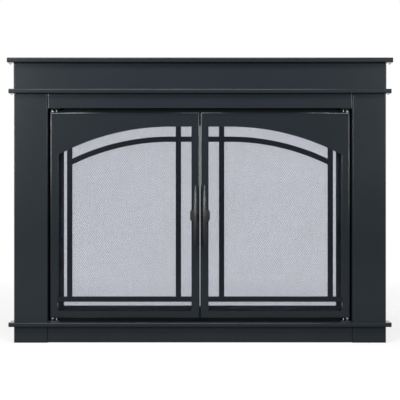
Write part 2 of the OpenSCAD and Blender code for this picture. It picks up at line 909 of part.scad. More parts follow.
module handle_plate() {
    color(paint) upright(door_y - plate_t, plate_t) difference() {
        translate([handle_x + plate_out - plate_w / 2, handle_z - plate_h / 2])
            rounded_rect(plate_w, plate_h, plate_corner_r);
        translate([handle_x, handle_z]) circle(screw_r + pin_clear);
    }
}

// Half the height of the bar is measured by t, from -1 at the lower tip to 1 at the upper one
function swell(t, tip, middle) = tip + (middle - tip) * (1 - t * t);
function rounding(t) = sqrt(1 - pow(abs(t), tip_power));
function spread(c) = sign(c) * pow(abs(c), 2 / section_power);
function bar_ring(t) = [
    for (j = [0:bar_sides - 1])
        let (angle = 360 * j / bar_sides, width = swell(t, handle_tip_w, handle_w) * rounding(t),
             depth = swell(t, handle_tip_d, handle_bar_d))
            [
                width / 2 * spread(cos(angle)),
                handle_bow * t * t + (depth + depth * rounding(t) * spread(sin(angle))) / 2,
                t * handle_l / 2
            ]
];
bar_sides = 20;
bar_rings = 26;
tip_power = 14;
section_power = 2.6;

// A bowed bar that thins towards its rounded tips, on a post from its back plate
module handle_bar() {
    front = door_y - handle_reach;
    post_back = door_y - plate_t;
    rings = [for (i = [1:bar_rings - 1]) bar_ring(-cos(180 * i / bar_rings))];
    tip_y = handle_bow + handle_tip_d / 2;
    points = concat([[0, tip_y, -handle_l / 2]], [for (ring = rings, point = ring) point],
        [[0, tip_y, handle_l / 2]]);
    last = len(points) - 1;
    ends = [
        for (j = [0:bar_sides - 1]) let (k = (j + 1) % bar_sides)
            each [[1 + j, 1 + k, 0], [last - bar_sides + k, last - bar_sides + j, last]]
    ];
    skin = [
        for (i = [0:bar_rings - 3], j = [0:bar_sides - 1])
            let (k = (j + 1) % bar_sides, low = 1 + i * bar_sides, high = low + bar_sides)
                each [[high + k, low + k, low + j], [high + j, high + k, low + j]]
    ];
    color(paint) translate([handle_x, 0, handle_z]) difference() {
        union() {
            translate([0, front, 0]) polyhedron(points, concat(ends, skin));
            upright_round(0, front + handle_bar_d / 2, 0, post_r, post_back - front - handle_bar_d / 2);
        }
        upright_round(0, post_back - post_bore, 0, screw_r, post_bore + eps);
    }
}

module handle_screw() {
    color(steel) translate([handle_x, door_y + sheet, handle_z]) rotate([90, 0, 0])
        screw(sheet + plate_t + post_bore - bore_spare);
}

// ---- Door pivots and strike ----

bush_l = 9;
module door_bush() {
    translate([pivot_x, pivot_y, door_z0]) difference() {
        union() {
            translate([0, 0, -bush_flange_t]) cylinder(r = bush_flange_r, h = bush_flange_t);
            cylinder(r = bush_r, h = bush_l);
        }
        translate([0, 0, -bush_flange_t - eps])
            cylinder(r = pin_r + pin_clear, h = bush_flange_t + bush_l + 2 * eps);
    }
}

module door_bushes() color("#9a9da0") {
    door_bush();
    turned_over() door_bush();
}

strike_t = 1.2;
strike_l = door_d - door_fold_r;
strike_drop = 1;
module door_strike() {
    color(steel) {
        box(catch_x - catch_w / 2, catch_x + catch_w / 2, door_back_y - strike_t, door_back_y,
            catch_z - strike_drop, door_z1 - sheet);
        box(catch_x - catch_w / 2, catch_x + catch_w / 2, door_back_y - strike_l,
            door_back_y - strike_t, door_z1 - sheet - strike_t, door_z1 - sheet);
    }
}

// ---- Mesh gates, drawn as the right-hand one ----

gate_lip = 5;
mesh_in = 12;
knob_r = 4.5;
knob_neck_r = 2.5;
knob_neck_l = 2;
knob_flare = 1.2;
knob_rim = 1.6;
knob_rivet_r = 2.4;
knob_rivet_t = 1;
knob_x = gate_meet_x + gate_bar_w / 2;
mesh_y = gate_y + gate_sheet;

module inset_box(inset, y0, y1) {
    box(gate_meet_x + inset, gate_outer_x - inset, y0, y1, gate_z0 + inset, gate_z1 - inset);
}

module gate_frame() {
    color(paint) difference() {
        inset_box(0, gate_y, gate_back_y);
        inset_box(gate_sheet, gate_y + gate_sheet, gate_back_y - gate_sheet);
        inset_box(gate_lip, gate_back_y - gate_sheet - eps, gate_back_y + eps);
        inset_box(gate_bar_w, gate_y - eps, gate_y + gate_sheet + eps);
        for (z = [gate_z0, gate_z1 - gate_sheet]) translate([gate_pivot_x, gate_pivot_y, z - eps])
            cylinder(r = gate_bush_r, h = gate_sheet + 2 * eps);
        upright_round(knob_x, gate_y - eps, handle_z, rivet_r, gate_sheet + 2 * eps);
    }
}

// The mesh as a flat net: a plain edge and straight wires both ways
module mesh() {
    x0 = gate_meet_x + gate_bar_w;
    x1 = gate_outer_x - gate_bar_w;
    z0 = gate_z0 + gate_bar_w;
    z1 = gate_z1 - gate_bar_w;
    pitch_x = (x1 - x0) / mesh_nx;
    pitch_z = (z1 - z0) / mesh_nz;
    edge = gate_bar_w - mesh_in;
    color("#2b2d30") upright(mesh_y, mesh_t) {
        difference() {
            rect(x0 - edge, x1 + edge, z0 - edge, z1 + edge);
            rect(x0, x1, z0, z1);
        }
        for (i = [1:mesh_nx - 1]) rect(x0 + pitch_x * i - wire_w / 2, x0 + pitch_x * i + wire_w / 2, z0, z1);
        for (k = [1:mesh_nz - 1]) rect(x0, x1, z0 + pitch_z * k - wire_w / 2, z0 + pitch_z * k + wire_w / 2);
    }
}

module mesh_retainer() {
    color(paint) difference() {
        inset_box(mesh_in, mesh_y + mesh_t, mesh_y + mesh_t + sheet);
        inset_box(gate_bar_w, mesh_y + mesh_t - eps, mesh_y + mesh_t + sheet + eps);
    }
}

// A small turned knob, riveted through the gate's meeting bar
module gate_knob() {
    rim_l = knob_neck_l + knob_flare;
    front_l = rim_l + knob_rim + knob_flare;
    color(paint) translate([knob_x, gate_y, handle_z]) rotate([90, 0, 0]) rotate_extrude() polygon([
        [0, -gate_sheet - knob_rivet_t], [knob_rivet_r, -gate_sheet - knob_rivet_t],
        [knob_rivet_r, -gate_sheet], [rivet_r, -gate_sheet], [rivet_r, 0],
        [knob_neck_r, 0], [knob_neck_r, knob_neck_l], [knob_r, rim_l], [knob_r, rim_l + knob_rim],
        [knob_r - knob_flare, front_l], [0, front_l]
    ]);
}

module gate_bush() {
    translate([gate_pivot_x, gate_pivot_y, gate_z0]) difference() {
        union() {
            translate([0, 0, -gate_flange_t]) cylinder(r = gate_flange_r, h = gate_flange_t);
            cylinder(r = gate_bush_r, h = gate_pin_l);
        }
        translate([0, 0, -gate_flange_t - eps])
            cylinder(r = gate_pin_r + pin_clear, h = gate_flange_t + gate_pin_l + 2 * eps);
    }
}

module gate_bushes() color("#9a9da0") {
    gate_bush();
    gate_turned_over() gate_bush();
}

// ---- The pieces on each side ----

module left_door_frame() mirror([1, 0, 0]) door_frame();
module right_door_frame() door_frame();
module left_grille() mirror([1, 0, 0]) grille();
module right_grille() grille();
module left_glass() mirror([1, 0, 0]) glass();
module right_glass() glass();
module left_glass_clips() mirror([1, 0, 0]) glass_clips();
module right_glass_clips() glass_clips();
module left_clip_screws() mirror([1, 0, 0]) clip_screws();
module right_clip_screws() clip_screws();
module left_handle_plate() mirror([1, 0, 0]) handle_plate();
module right_handle_plate() handle_plate();
module left_handle_bar() mirror([1, 0, 0]) handle_bar();
module right_handle_bar() handle_bar();
module left_handle_screw() mirror([1, 0, 0]) handle_screw();
module right_handle_screw() handle_screw();
module left_door_bushes() mirror([1, 0, 0]) door_bushes();
module right_door_bushes() door_bushes();
module left_door_strike() mirror([1, 0, 0]) door_strike();
module right_door_strike() door_strike();
module left_gate_frame() mirror([1, 0, 0]) gate_frame();
module right_gate_frame() gate_frame();
module left_mesh() mirror([1, 0, 0]) mesh();
module right_mesh() mesh();
module left_mesh_retainer() mirror([1, 0, 0]) mesh_retainer();
module right_mesh_retainer() mesh_retainer();
module left_gate_knob() mirror([1, 0, 0]) gate_knob();
module right_gate_knob() gate_knob();
module left_gate_bushes() mirror([1, 0, 0]) gate_bushes();
module right_gate_bushes() gate_bushes();

left_column();
right_column();
header_panel();
lower_header();
top_shelf();
upper_ledge();
lower_ledge();
kick_rail();
left_jamb();
right_jamb();
head_stop();
sill_stop();
frame_screws();
lower_hinge_plates();
upper_hinge_plates();
hinge_plate_screws();
door_pivot_pins();
side_screws();
gate_pivot_brackets();
gate_bracket_rivets();
gate_pivot_pins();
door_magnets();
gate_magnets();
stop_screws();
lintel_brackets();
lintel_clamp_bolts();
floor_brackets();
left_door_frame();
left_grille();
left_glass();
left_glass_clips();
left_clip_screws();
left_handle_plate();
left_handle_bar();
left_handle_screw();
left_door_bushes();
left_door_strike();
right_door_frame();
right_grille();
right_glass();
right_glass_clips();
right_clip_screws();
right_handle_plate();
right_handle_bar();
right_handle_screw();
right_door_bushes();
right_door_strike();
left_gate_frame();
left_mesh();
left_mesh_retainer();
left_gate_knob();
left_gate_bushes();
right_gate_frame();
right_mesh();
right_mesh_retainer();
right_gate_knob();
right_gate_bushes();
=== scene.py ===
import json
import math

import bmesh
import bpy
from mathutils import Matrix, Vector


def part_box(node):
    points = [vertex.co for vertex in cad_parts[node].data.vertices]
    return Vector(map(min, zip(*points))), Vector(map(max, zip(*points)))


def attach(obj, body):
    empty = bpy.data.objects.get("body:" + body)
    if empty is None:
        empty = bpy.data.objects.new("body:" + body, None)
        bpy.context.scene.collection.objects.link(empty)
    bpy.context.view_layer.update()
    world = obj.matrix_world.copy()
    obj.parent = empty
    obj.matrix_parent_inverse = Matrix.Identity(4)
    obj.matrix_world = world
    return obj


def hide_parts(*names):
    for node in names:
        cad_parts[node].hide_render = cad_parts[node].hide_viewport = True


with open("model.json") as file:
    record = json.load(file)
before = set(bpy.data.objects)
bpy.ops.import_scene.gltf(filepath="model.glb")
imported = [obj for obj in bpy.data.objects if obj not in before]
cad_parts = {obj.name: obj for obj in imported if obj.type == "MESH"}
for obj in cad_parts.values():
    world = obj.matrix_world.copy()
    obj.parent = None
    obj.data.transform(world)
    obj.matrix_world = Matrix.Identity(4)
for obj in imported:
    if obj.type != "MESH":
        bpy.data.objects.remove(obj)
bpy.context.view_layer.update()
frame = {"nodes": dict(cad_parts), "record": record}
nodes = frame["nodes"]
scene = bpy.context.scene
sides = ("left", "right")
bodyOf = {
    node: body for body, members in frame["record"]["behaviour"]["bodies"].items()
    for node in members
}
slotOf = {part["node"]: part["material_slot"] for part in frame["record"]["subparts"]}
# points closer than this are one point, and a noise wanders about this value
mergeGap = 0.000002
noiseMiddle = 0.5
# how sharply a surface turns, in radians, before its edge is drawn crisp
crispAngles = {"bar": 0.9, "screw": 0.7, "wire": 3.0}


# One output of a node, which takes part in sums like a number
class Signal:
    def __init__(self, board, node, socket):
        self.board = board
        self.node = node
        self.socket = socket

    def output(self, name):
        return Signal(self.board, self.node, self.node.outputs[name])

    def maths(self, operation, *others):
        return self.board.maths(operation, self, *others)

    def __add__(self, other):
        return self.maths("ADD", other)

    def __radd__(self, other):
        return self.board.maths("ADD", other, self)

    def __sub__(self, other):
        return self.maths("SUBTRACT", other)

    def __rsub__(self, other):
        return self.board.maths("SUBTRACT", other, self)

    def __mul__(self, other):
        return self.maths("MULTIPLY", other)

    def __truediv__(self, other):
        return self.maths("DIVIDE", other)

    def __rtruediv__(self, other):
        return self.board.maths("DIVIDE", other, self)

    def __pow__(self, other):
        return self.maths("POWER", other)

    def __gt__(self, other):
        return self.maths("GREATER_THAN", other)

    def __lt__(self, other):
        return self.maths("LESS_THAN", other)

    def __abs__(self):
        return self.maths("ABSOLUTE")


# A node tree, shader or geometry, that is built one node at a time
class NodeBoard:
    def __init__(self, tree):
        self.tree = tree
        tree.nodes.clear()

    def add(self, kind, settings=None, sockets=None, out=0):
        node = self.tree.nodes.new(kind)
        for name, value in (settings or {}).items():
            setattr(node, name, value)
        for name, value in (sockets or {}).items():
            if isinstance(value, Signal):
                self.tree.links.new(value.socket, node.inputs[name])
            else:
                node.inputs[name].default_value = value
        return Signal(self, node, node.outputs[out] if len(node.outputs) else None)

    def maths(self, operation, *terms):
        return self.add("ShaderNodeMath", {"operation": operation}, dict(enumerate(terms)))

    def vectors(self, operation, *terms):
        return self.add("ShaderNodeVectorMath", {"operation": operation}, dict(enumerate(terms)))

    def axes(self, vector):
        parts = self.add("ShaderNodeSeparateXYZ", None, {0: vector})
        return parts.output("X"), parts.output("Y"), parts.output("Z")

    # several shapes into one node that takes them all, such as a union
    def gathered(self, kind, settings, name, parts):
        whole = self.add(kind, settings)
        for part in parts:
            self.tree.links.new(part.socket, whole.node.inputs[name])
        return whole


# A colour as it shows on a screen, 0 to 255, with the screen's curve undone
def linear(*shades):
    def undone(share):
        return share / 12.92 if share <= 0.04045 else ((share + 0.055) / 1.055) ** 2.4

    return tuple(undone(shade / 255) for shade in shades) + (1,)


def newFinish(name):
    material = bpy.data.materials.new(name)
    material.use_nodes = True
    board = NodeBoard(material.node_tree)
    return material, board, board.add("ShaderNodeTexCoord").output("Object")


def finishSurface(board, shader):
    board.add("ShaderNodeOutputMaterial", None, {"Surface": shader})


# A mix's two colours are its inputs 6 and 7, and its colour is output 2
def mixColours(board, amount, first, second):
    return board.add("ShaderNodeMix", {"data_type": "RGBA"}, {0: amount, 6: first, 7: second}, 2)


# Each grain is a noise's scale and its detail
def noise(board, place, grain):
    scale, detail = grain
    return board.add("ShaderNodeTexNoise", None,
                     {"Vector": place, "Scale": scale, "Detail": detail})


# Satin powder coat: a soft orange peel, a fine speckle and a faint unevenness of tone. The shares
# are those of the tone and the peel, and the speckle has the rest
powderCoat = {
    "dark": linear(30, 35, 40), "light": linear(37, 43, 48),
    "peel": (420, 3), "speckle": (1900, 1), "tone": (5, 4), "toneShare": 0.7, "peelShare": 0.75,
    "roughness": 0.19, "roughnessSpan": 0.03, "peelHeight": 0.00005, "bump": 0.06, "gloss": 0.38,
}
# A darker copy of the coat on the door frames: painted shade, as the doors stand back from the
# columns and take less light
doorShadedCoat = dict(powderCoat, dark=linear(28, 33, 38), light=linear(34, 40, 45))
# A darker copy again on the grille bars: painted shade, as the bars take less light than the
# frame
grilleShadedCoat = dict(powderCoat, dark=linear(18, 22, 28), light=linear(24, 28, 34))
# The darkest copy of the coat, on the gates behind the glass and on the parts in the gaps round
# the doors: painted shade where little light reaches
backShadeCoat = dict(powderCoat, dark=linear(14, 16, 19), light=linear(19, 21, 24))
handleCoat = dict(powderCoat, dark=linear(6, 7, 8), light=linear(10, 11, 13),
                  roughness=0.36, gloss=1.0)


def makePowderCoat(name, values):
    material, board, place = newFinish(name)
    peel = noise(board, place, values["peel"])
    speckle = noise(board, place, values["speckle"])
    tone = noise(board, place, values["tone"])
    shade = tone * values["toneShare"] + speckle * (1 - values["toneShare"])
    bump = board.add("ShaderNodeBump", None, {
        "Strength": values["bump"], "Distance": values["peelHeight"],
        "Height": peel * values["peelShare"] + speckle * (1 - values["peelShare"]),
    })
    shader = board.add("ShaderNodeBsdfPrincipled", None, {
        "Base Color": mixColours(board, shade, values["dark"], values["light"]),
        "Roughness": values["roughness"] + (tone - noiseMiddle) * values["roughnessSpan"],
        "Normal": bump, "Specular IOR Level": values["gloss"],
    })
    finishSurface(board, shader)
    return material


# Bright zinc plating with the mottle and the fine scratches of handled parts
zincPlate = {
    "dark": linear(118, 122, 126), "light": linear(178, 182, 186), "mottle": (160, 4),
    "scratch": (1400, 2), "drawn": (1, 0.06, 1), "scratchHeight": 0.00003, "bump": 0.2,
    "roughness": 0.3, "roughnessSpan": 0.2,
}
bushMetal = dict(zincPlate, light=linear(196, 199, 202))
# Darker, rougher zinc: the roughness is the plating's own, the darker colour is painted shade on
# parts in the corners of the opening
dullShadedZinc = dict(zincPlate, dark=linear(52, 55, 58), light=linear(84, 87, 90), roughness=0.46)


def makeZincPlate(name, values):
    material, board, place = newFinish(name)
    mottle = noise(board, place, values["mottle"])
    drawn = board.add("ShaderNodeMapping", None, {"Vector": place, "Scale": values["drawn"]})
    scratch = noise(board, drawn, values["scratch"])
    bump = board.add("ShaderNodeBump", None, {
        "Strength": values["bump"], "Distance": values["scratchHeight"], "Height": scratch,
    })
    shader = board.add("ShaderNodeBsdfPrincipled", None, {
        "Base Color": mixColours(board, mottle, values["dark"], values["light"]),
        "Metallic": 1.0, "Normal": bump,
        "Roughness": values["roughness"] + scratch * values["roughnessSpan"],
    })
    finishSurface(board, shader)
    return material


# Clear tempered glass that lets lamps through to the gates behind it
clearGlass = {
    "clean": linear(243, 245, 255), "dusty": linear(236, 238, 248), "dust": (6, 5), "bend": 1.18,
}


def makeClearGlass(name, values):
    material, board, place = newFinish(name)
    dust = noise(board, place, values["dust"])
    glass = board.add("ShaderNodeBsdfPrincipled", None, {
        "Base Color": mixColours(board, dust, values["clean"], values["dusty"]),
        "Transmission Weight": 1.0, "IOR": values["bend"], "Roughness": 0.0,
    })
    clear = board.add("ShaderNodeBsdfTransparent", None, {"Color": values["clean"]})
    lampRay = board.add("ShaderNodeLightPath").output("Is Shadow Ray")
    finishSurface(board, board.add("ShaderNodeMixShader", None, {0: lampRay, 1: glass, 2: clear}))
    return material


# Black-coated wire, worn to a lighter grey in patches
meshWire = {
    "dark": linear(30, 33, 36), "light": linear(58, 61, 65), "grain": (240, 3),
    "roughness": 0.45, "roughnessSpan": 0.2, "gloss": 0.4,
}


def makeMeshWire(name, values):
    material, board, place = newFinish(name)
    grain = noise(board, place, values["grain"])
    shader = board.add("ShaderNodeBsdfPrincipled", None, {
        "Base Color": mixColours(board, grain, values["dark"], values["light"]),
        "Roughness": values["roughness"] + (grain - noiseMiddle) * values["roughnessSpan"],
        "Specular IOR Level": values["gloss"],
    })
    finishSurface(board, shader)
    return material


# Moulded black plastic of the magnets' cases
magnetCase = {
    "dark": linear(26, 27, 29), "light": linear(36, 37, 39), "grain": (1500, 2),
    "grainHeight": 0.00005, "bump": 0.3, "roughness": 0.55, "roughnessSpan": 0.1,
}


def makeMagnetCase(name, values):
    material, board, place = newFinish(name)
    grain = noise(board, place, values["grain"])
    bump = board.add("ShaderNodeBump", None, {
        "Strength": values["bump"], "Distance": values["grainHeight"], "Height": grain,
    })
    shader = board.add("ShaderNodeBsdfPrincipled", None, {
        "Base Color": mixColours(board, grain, values["dark"], values["light"]),
        "Roughness": values["roughness"] + grain * values["roughnessSpan"], "Normal": bump,
    })
    finishSurface(board, shader)
    return material


finishes = {
    "powder_coat": makePowderCoat("satinPowderCoat", powderCoat),
    "zinc_steel": makeZincPlate("zincPlate", zincPlate),
    "bush_metal": makeZincPlate("bushMetal", bushMetal),
    "clear_glass": makeClearGlass("clearGlass", clearGlass),
    "mesh_wire": makeMeshWire("blackWire", meshWire),
    "magnet_case": makeMagnetCase("magnetCase", magnetCase),
}
doorShadedFinish = makePowderCoat("doorShadedPowderCoat", doorShadedCoat)
grilleShadedFinish = makePowderCoat("grilleShadedPowderCoat", grilleShadedCoat)
backShadeFinish = makePowderCoat("backShadePowderCoat", backShadeCoat)
handleFinish = makePowderCoat("handlePowderCoat", handleCoat)
dullShadedFinish = makeZincPlate("dullShadedZinc", dullShadedZinc)
ownFinish = {
    "door_frame": doorShadedFinish, "grille": grilleShadedFinish, "gate_frame": backShadeFinish,
    "retainer": backShadeFinish, "gate_pivot_brackets": backShadeFinish, "gate_knob": backShadeFinish,
    # the hinge plates, their screws and the pivot pins take the darker zinc as painted shade in
    # the corners
    "handle_plate": handleFinish, "hinge_plate_screws": dullShadedFinish, "hinge_plates": dullShadedFinish,
    # the sill stop and the jambs wear the darkest coat as painted shade in the gaps round the
    # doors
    "door_pivot_pins": dullShadedFinish, "sill_stop": backShadeFinish, "jamb": backShadeFinish,
}


# A node's finish: its own where its name ends in one of these, or else its slot's
def finishFor(nodeName):
    own = [finish for ending, finish in ownFinish.items() if nodeName.endswith(ending)]
    return own[0] if own else finishes[slotOf[nodeName]]


for nodeName, obj in nodes.items():
    obj.data.materials.clear()
    obj.data.materials.append(finishFor(nodeName))
print("finishes made")


# A finer piece that takes a node's place on the same body, and hides the node
def addPiece(name, mesh, replaced):
    piece = bpy.data.objects.new(name, mesh)
    scene.collection.objects.link(piece)
    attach(piece, bodyOf[replaced])
    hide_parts(replaced)
    return piece


# The plain mesh that is left when an object's modifiers have run
def bakedMesh(holder, name):
    bpy.context.view_layer.update()
    depsgraph = bpy.context.evaluated_depsgraph_get()
    mesh = bpy.data.meshes.new_from_object(
        holder.evaluated_get(depsgraph), preserve_all_data_layers=True, depsgraph=depsgraph)
    mesh.name = name
    bpy.data.objects.remove(holder)
    return mesh


def newTree(name, inputs):
    tree = bpy.data.node_groups.new(name, "GeometryNodeTree")
    board = NodeBoard(tree)
    kinds = {float: "NodeSocketFloat", int: "NodeSocketInt", tuple: "NodeSocketVector"}
    tree.interface.new_socket(name="Points", in_out="INPUT", socket_type="NodeSocketGeometry")
    for label, value in inputs.items():
        tree.interface.new_socket(name=label, in_out="INPUT", socket_type=kinds[type(value)])
    tree.interface.new_socket(name="Shape", in_out="OUTPUT", socket_type="NodeSocketGeometry")
    return tree, board, board.add("NodeGroupInput")


# Smooth faces with crisp edges where the surface turns sharply, as one mesh in one finish
def endTree(board, shape, material, crispAngle):
    soft = board.add("GeometryNodeSetShadeSmooth", None,
                     {"Geometry": shape, "Shade Smooth": True})
    turn = board.add("GeometryNodeInputMeshEdgeAngle").output("Unsigned Angle")
    crisp = board.add("GeometryNodeSetShadeSmooth", {"domain": "EDGE"},
                      {"Geometry": soft, "Selection": turn > crispAngle, "Shade Smooth": False})
    single = board.add("GeometryNodeRealizeInstances", None, {"Geometry": crisp})
    coloured = board.add("GeometryNodeSetMaterial", None,
                         {"Geometry": single, "Material": material})
    board.add("NodeGroupOutput", None, {0: coloured})


# Runs a tree with its named sizes and keeps the plain mesh that comes out
def growMesh(name, tree, inputs, points=None):
    holder = bpy.data.objects.new(name, points or bpy.data.meshes.new(name))
    scene.collection.objects.link(holder)
    modifier = holder.modifiers.new("shape", "NODES")
    modifier.node_group = tree
    for item in tree.interface.items_tree:
        if item.item_type == "SOCKET" and item.in_out == "INPUT" and item.name in inputs:
            modifier[item.identifier] = inputs[item.name]
    return bakedMesh(holder, name)


# Softened copies of the sheet, bar and turned pieces: their folds shade smoothly, and the edges
# of the thicker pieces are broken as a file or a tumbling drum leaves them
softEdges = {
    "flatAngle": 0.4, "foldAngle": 24.0, "edgeAngle": 50.0, "rings": 2,
    "sheet": [
        "left_column", "right_column", "header_panel", "lower_header", "top_shelf", "upper_ledge",
        "lower_ledge", "kick_rail", "left_jamb", "right_jamb", "head_stop", "sill_stop",
        "left_door_frame", "right_door_frame", "left_grille", "right_grille",
        "left_gate_frame", "right_gate_frame", "left_mesh_retainer", "right_mesh_retainer",
        "gate_pivot_brackets",
    ],
    "broken": {
        "left_handle_plate": 0.0007, "right_handle_plate": 0.0007,
        "left_glass": 0.0005, "right_glass": 0.0005,
        "lower_hinge_plates": 0.0003, "upper_hinge_plates": 0.0003,
        "lintel_brackets": 0.0004, "floor_brackets": 0.0004, "door_magnets": 0.0004,
        "left_door_strike": 0.0002, "right_door_strike": 0.0002,
        "left_glass_clips": 0.0002, "right_glass_clips": 0.0002,
        "left_door_bushes": 0.0003, "right_door_bushes": 0.0003,
        "left_gate_bushes": 0.0002, "right_gate_bushes": 0.0002,
        "left_gate_knob": 0.0003, "right_gate_knob": 0.0003,
        "door_pivot_pins": 0.0003, "gate_pivot_pins": 0.0003,
        "gate_bracket_rivets": 0.0004, "gate_magnets": 0.0003,
    },
}


def softenedMesh(nodeName, values):
    mesh = bpy.data.meshes.new(nodeName + "Soft")
    shape = bmesh.new()
    shape.from_mesh(nodes[nodeName].data)
    bmesh.ops.remove_doubles(shape, verts=shape.verts, dist=mergeGap)
    bmesh.ops.dissolve_limit(shape, angle_limit=math.radians(values["flatAngle"]),
                             verts=shape.verts, edges=shape.edges)
    for face in shape.faces:
        face.smooth = True
    shape.to_mesh(mesh)
    shape.free()
    mesh.set_sharp_from_angle(angle=math.radians(values["foldAngle"]))
    holder = bpy.data.objects.new(nodeName + "Soft", mesh)
    scene.collection.objects.link(holder)
    if nodeName in values["broken"]:
        bevel = holder.modifiers.new("brokenEdge", "BEVEL")
        bevel.width = values["broken"][nodeName]
        bevel.segments = values["rings"]
        bevel.limit_method = "ANGLE"
        bevel.angle_limit = math.radians(values["edgeAngle"])
        bevel.use_clamp_overlap = True
    weighted = holder.modifiers.new("weighted", "WEIGHTED_NORMAL")
    weighted.keep_sharp = True
    return bakedMesh(holder, nodeName + "Soft")


for nodeName in softEdges["sheet"] + list(softEdges["broken"]):
    mesh = softenedMesh(nodeName, softEdges)
    mesh.materials.clear()
    mesh.materials.append(finishFor(nodeName))
    addPiece(nodeName + ".soft", mesh, nodeName)
print("sheet, plates and turned pieces softened")


# Handle bars: bowed, widest in the middle, on a post from the back plate
bowedBar = {
    "Length": 0.182, "Middle Width": 0.012, "Tip Width": 0.006, "Middle Depth": 0.011,
    "Tip Depth": 0.006, "Bow": 0.012, "Tip Power": 14.0, "Section Power": 2.0,
    "Post Radius": 0.005, "Post Length": 0.0365, "Sides": 40, "Rings": 90,
    "Middle": (0.0, 0.0, 0.0),
}


def barTree(material):
    tree, board, given = newTree("bowedBar", bowedBar)
    size = given.output
    tube = board.add("GeometryNodeMeshCylinder", {"fill_type": "NONE"}, {
        "Vertices": size("Sides"), "Side Segments": size("Rings"), "Radius": 1.0, "Depth": 2.0,
    })
    # along the bar runs from -1 at the lower tip to 1 at the upper one, with closer rings there
    across, deep, height = board.axes(board.add("GeometryNodeInputPosition"))
    along = (height * (math.pi / 2)).maths("SINE")
    falling = along * along
    rounding = (1 - abs(along) ** size("Tip Power")).maths("MAXIMUM", 0.0) ** 0.5

    def swell(name):
        return size("Middle " + name) + (size("Tip " + name) - size("Middle " + name)) * falling

    def spread(reach):
        return reach.maths("SIGN") * abs(reach) ** (2 / size("Section Power"))

    depth = swell("Depth")
    placed = board.add("ShaderNodeCombineXYZ", None, {
        "X": swell("Width") * rounding * spread(across) * 0.5,
        "Y": size("Bow") * falling + (depth + depth * rounding * spread(deep)) * 0.5,
        "Z": along * size("Length") * 0.5,
    })
    bent = board.add("GeometryNodeSetPosition", None, {"Geometry": tube, "Position": placed})
    closed = board.add("GeometryNodeMergeByDistance", None,
                       {"Geometry": bent, "Distance": mergeGap})
    post = board.add("GeometryNodeMeshCylinder", None, {
        "Vertices": size("Sides"), "Radius": size("Post Radius"), "Depth": size("Post Length"),
    })
    reach = board.add("ShaderNodeCombineXYZ", None,
                      {"Y": (size("Middle Depth") + size("Post Length")) * 0.5})
    upright = board.add("GeometryNodeTransform", None,
                        {"Geometry": post, "Translation": reach, "Rotation": (math.pi / 2, 0, 0)})
    united = board.gathered("GeometryNodeMeshBoolean", {"operation": "UNION", "solver": "EXACT"},
                            "Mesh 2", [closed, upright])
    moved = board.add("GeometryNodeTransform", None,
                      {"Geometry": united, "Translation": size("Middle")})
    endTree(board, moved, material, crispAngles["bar"])
    return tree


def handleBars():
    tree = barTree(handleFinish)
    for side in sides:
        node = side + "_handle_bar"
        low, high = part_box(node)
        middle = ((low.x + high.x) / 2, low.y, (low.z + high.z) / 2)
        mesh = growMesh(side + "BowedBar", tree, dict(bowedBar, Middle=middle))
        addPiece(side + "BowedBar", mesh, node)
        print(side, "handle bar", len(mesh.polygons), "faces")


handleBars()


# Cross-head machine screws: a ribbed shank that stands for the thread, a domed pan head and a
# recess, each at its own turn. The head's and shank's sizes are taken from each node's solids
machineScrew = {
    "Head Radius": 0.004, "Head Height": 0.0028, "Shank Radius": 0.002, "Shank Length": 0.005,
    "Pitch": 0.0007, "Thread Depth": 0.0003, "Rings Per Pitch": 4.0, "Head Rings": 9.0,
    "Recess Span": 0.0044, "Recess Width": 0.0009, "Recess Depth": 0.0014, "Seed": 5,
    "Sides": 24, "Dome Power": 0.66, "Tip Taper": 1.8,
}
# the recess as shares of the head's radius and height, and the digits that measured sizes keep
recessShares = {"span": 1.1, "width": 0.22, "depth": 0.5}
sizeDigits = 5
screwNodes = [
    "frame_screws", "side_screws", "hinge_plate_screws", "stop_screws", "left_clip_screws",
    "right_clip_screws", "left_handle_screw", "right_handle_screw",
]


